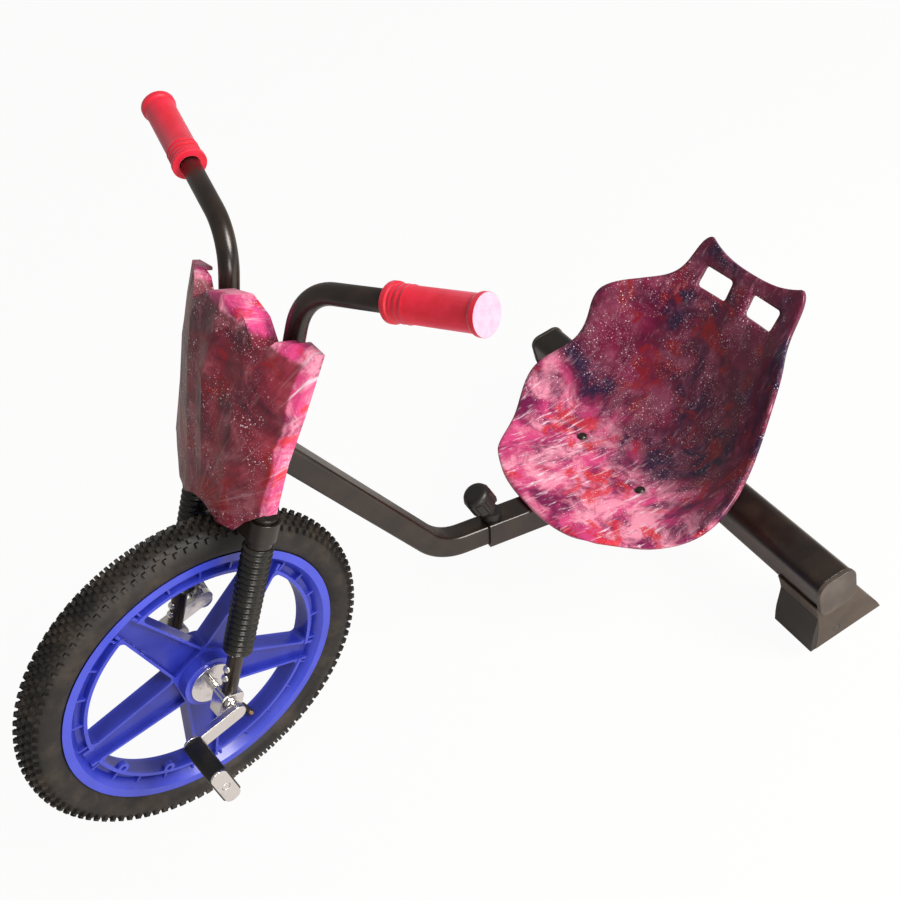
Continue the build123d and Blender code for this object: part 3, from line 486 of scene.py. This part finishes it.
for side in ("left", "right"):
    surface(side + "_crank", "front_wheel", bright_plate, bevel=0.0012)
    surface(side + "_pedal_cage", side + "_pedal", bright_plate, bevel=0.0005)
    surface(side + "_pedal_block", side + "_pedal", boot_rubber, bevel=0.0016)

# ---------------------------------------------------------------- handlebar, stem and grips
# One bent black tube held by a short clamp stem, with red-pink moulded rubber grips pushed over its
# ends. The outer end of each grip is painted as a paler disc, a painted highlight.

surface("handlebar", "steering", black_paint, corner=50)
surface("stem", "steering", black_paint, bevel=0.0010)

pink_rubber, shader, place = new_finish("pink_rubber", (0.74, 0.010, 0.030), 0.42, Sheen_Weight=0.6,
                                        Sheen_Roughness=0.4, Sheen_Tint=(1.0, 0.55, 0.72, 1.0))
bloom = place.noise(45.0, 4.0, 0.6)
bloom.band(0.3, 0.75).mix((0.66, 0.006, 0.022, 1), (0.80, 0.016, 0.050, 1)).into(shader, "Base Color")
(bloom * 0.2 + 0.34).into(shader, "Roughness")
place.noise(800.0, 2.0).bump(0.00008, 0.5).into(shader, "Normal")

# painted highlight: the grip's end disc is painted pale pink to stand for the light on it
highlight_rubber, shader, place = new_finish("grip_end_highlight", (0.58, 0.36, 0.48), 0.5)
bloom = place.noise(160.0, 4.0, 0.6)
bloom.band(0.3, 0.75).mix((0.54, 0.32, 0.44, 1), (0.62, 0.41, 0.52, 1)).into(shader, "Base Color")
(bloom * 0.2 + 0.4).into(shader, "Roughness")

for side in ("left", "right"):
    grip = surface(side + "_grip", "steering", pink_rubber, bevel=0.0007)
    grip.data.materials.append(highlight_rubber)
    # the disc is the grip's largest flat face
    disc = max(grip.data.polygons, key=lambda face: face.area)
    disc.material_index = 1

# ---------------------------------------------------------------- fairing
# A folded plastic shell under clear coat, printed with purple and red star clouds, on two struts from
# the stem and the crown. Its left strip and top edges are painted brighter as painted light, and the pale
# wisps fanning up its front are partly painted highlights on its folds.

CRIMSON, PINK, BLUSH = (0.190, 0.006, 0.075, 1), (0.720, 0.060, 0.230, 1), (0.960, 0.330, 0.480, 1)
COAL, EMBER = (0.260, 0.008, 0.012, 1), (0.700, 0.020, 0.035, 1)
WISP, STAR = (0.980, 0.720, 0.840, 1), (0.950, 0.760, 0.850, 1)
FAIRING_TONES = ((0.075, 0.008, 0.022, 1), (0.170, 0.013, 0.030, 1), (0.300, 0.028, 0.052, 1),
                 (0.400, 0.120, 0.150, 1))
# painted light: the strip and top edges below stand for light on the fairing's side flange and top faces
STRIP = (0.0340, 0.0365)          # the bright left strip starts this far across
TOP_EDGES = (0.505, 0.513)        # the bright top edges start this far up and back
FAN_FOOT = (0.002, 0.405)         # across and up, where the wisps fan out from


def nebula(name, cloud_scale, tones, painted_light_of, flow_of):
    """Generic star clouds. Dark tones turn to crimson, pink and pale wisps where painted_light_of says, which
    is painted light over the print; wisps follow the coordinates that flow_of gives, and embers and small
    stars lie all over."""
    made, shader, place = new_finish(name, (0.2, 0.03, 0.07), 0.35, Coat_Weight=0.22, Coat_Roughness=0.12,
                                     Specular_IOR_Level=0.4)
    night, plum, wine, haze = tones
    clouds = place.noise(cloud_scale, 8.0, 0.60, 0.9)
    # painted light: painted_light_share says where the print takes its lit tones and where its shaded ones
    painted_light_share = painted_light_of(place, clouds)
    flow = flow_of(place)
    veil = place.noise(cloud_scale * 2.1, 9.0, 0.70, 0.5)
    dark = clouds.band(0.50, 0.66).mix(clouds.band(0.38, 0.50).mix(night, plum), wine)
    dim = (veil.band(0.44, 0.72) * 0.8).mix(dark, haze)
    rich = clouds.band(0.38, 0.56).mix(CRIMSON, PINK)
    bright = veil.band(0.44, 0.62).mix(rich, BLUSH)
    drift = place.noise(cloud_scale * 1.5, 7.0, 0.64, 1.0)
    # lit and shaded copies of the print, chosen by the painted light
    warm = (drift.band(0.54, 0.64) * 0.85).mix(painted_light_share.mix(dim, bright), painted_light_share.mix(COAL, EMBER))
    wisps = flow.noise(cloud_scale * 2.6, 8.0, 0.68, 0.5)
    # the pale wisps are print, drawn stronger where the light is painted
    pale = (wisps.band(0.54, 0.68) * (painted_light_share * 0.95 + 0.12)).mix(warm, WISP)
    dots = place.tap("TexVoronoi", {"Vector": place, "Scale": 190.0})
    fine_dots = place.tap("TexVoronoi", {"Vector": place, "Scale": 430.0})
    chance = place.noise(26.0, 3.0).band(0.40, 0.58)
    stars = (dots * -1.0 + 1.0).band(0.82, 0.91) * chance
    glints = (fine_dots * -1.0 + 1.0).band(0.74, 0.88) * chance * 0.55
    (stars + glints).mix(pale, STAR).into(shader, "Base Color")
    (veil * 0.2 + 0.24).into(shader, "Roughness")
    return made, shader, flow


def fairing_painted_light(place, clouds):
    """The left side strip and the turned-back top edges, painted brighter as painted light."""
    strip = (place.along(0, 1, -0.12) + clouds * 0.01).band(*STRIP)
    edges = (place.along(-1, 0, 1) + clouds * 0.02).band(*TOP_EDGES)
    return strip.maths("MAXIMUM", edges)


def fairing_flow(place):
    """Coordinates that fan out upwards from a foot low on the fairing's front. The pale wisps drawn along
    them are partly print and partly painted highlights on its folds.
    """
    across = place.along(0, 1, 0) - FAN_FOOT[0]
    height = place.along(0, 0, 1) - FAN_FOOT[1]
    turn = across.maths("ARCTAN2", height)
    reach = (across * across + height * height) ** 0.5
    return place.tap("CombineXYZ", {0: turn * 0.42, 1: reach * 0.16, 2: 0.0})


fairing_print, shader, flow = nebula("fairing_print", 15.0, FAIRING_TONES, fairing_painted_light, fairing_flow)
flow.noise(26.0, 4.0, 0.55, 0.4).bump(0.006, 0.55).into(shader, "Normal")
surface("front_fairing", "steering", fairing_print, corner=38)
surface("fairing_bracket", "steering", black_paint, bevel=0.0005)

# ---------------------------------------------------------------- seat
# A thin moulded bucket seat with the same kind of print, held to its strap by two dark domed bolts
# through the pan. Its pan is painted brighter than its back, as painted light.

SEAT_TONES = ((0.020, 0.004, 0.036, 1), (0.105, 0.005, 0.032, 1), (0.210, 0.013, 0.060, 1),
              (0.340, 0.085, 0.150, 1))
# painted light: the pan's brighter print below stands for the light on it
PAN_PAINTED_LIGHT = (-0.24, -0.16)         # the bright pan starts this far ahead
BOLT_AHEAD, BOLT_ACROSS, BOLT_HEIGHT = -0.247, 0.062, 0.1398
BOLT_LEAN = Vector((-0.10, -0.09, 0.99))      # the left bolt's way out of the pan
BOLT_PROFILE = ((0, 0.0030), (0.0032, 0.0026), (0.0056, 0.0012), (0.0062, 0), (0.0062, -0.0014),
                (0, -0.0014))


def seat_painted_light(place, clouds):
    """The pan, ahead of the foot of the back, painted brighter as painted light."""
    return (place.along(1, -0.05, 0) + clouds * 0.14).band(*PAN_PAINTED_LIGHT)


def seat_flow(place):
    """Coordinates that draw the wisps out from back to front."""
    return place.stretch(1.0, 6.0, 2.6)


seat_print, shader, flow = nebula("seat_print", 12.0, SEAT_TONES, seat_painted_light, seat_flow)
flow.noise(30.0, 5.0, 0.6).bump(0.0010, 0.35).into(shader, "Normal")
surface("seat_shell", "frame", seat_print, corner=45)
for side, sign in (("left", 1), ("right", -1)):
    spot = Vector((BOLT_AHEAD, sign * BOLT_ACROSS, BOLT_HEIGHT))
    way = Vector((BOLT_LEAN.x, sign * BOLT_LEAN.y, BOLT_LEAN.z)).normalized()
    spun(side + "_seat_bolt", BOLT_PROFILE, spot, way, "frame", black_paint, 24)
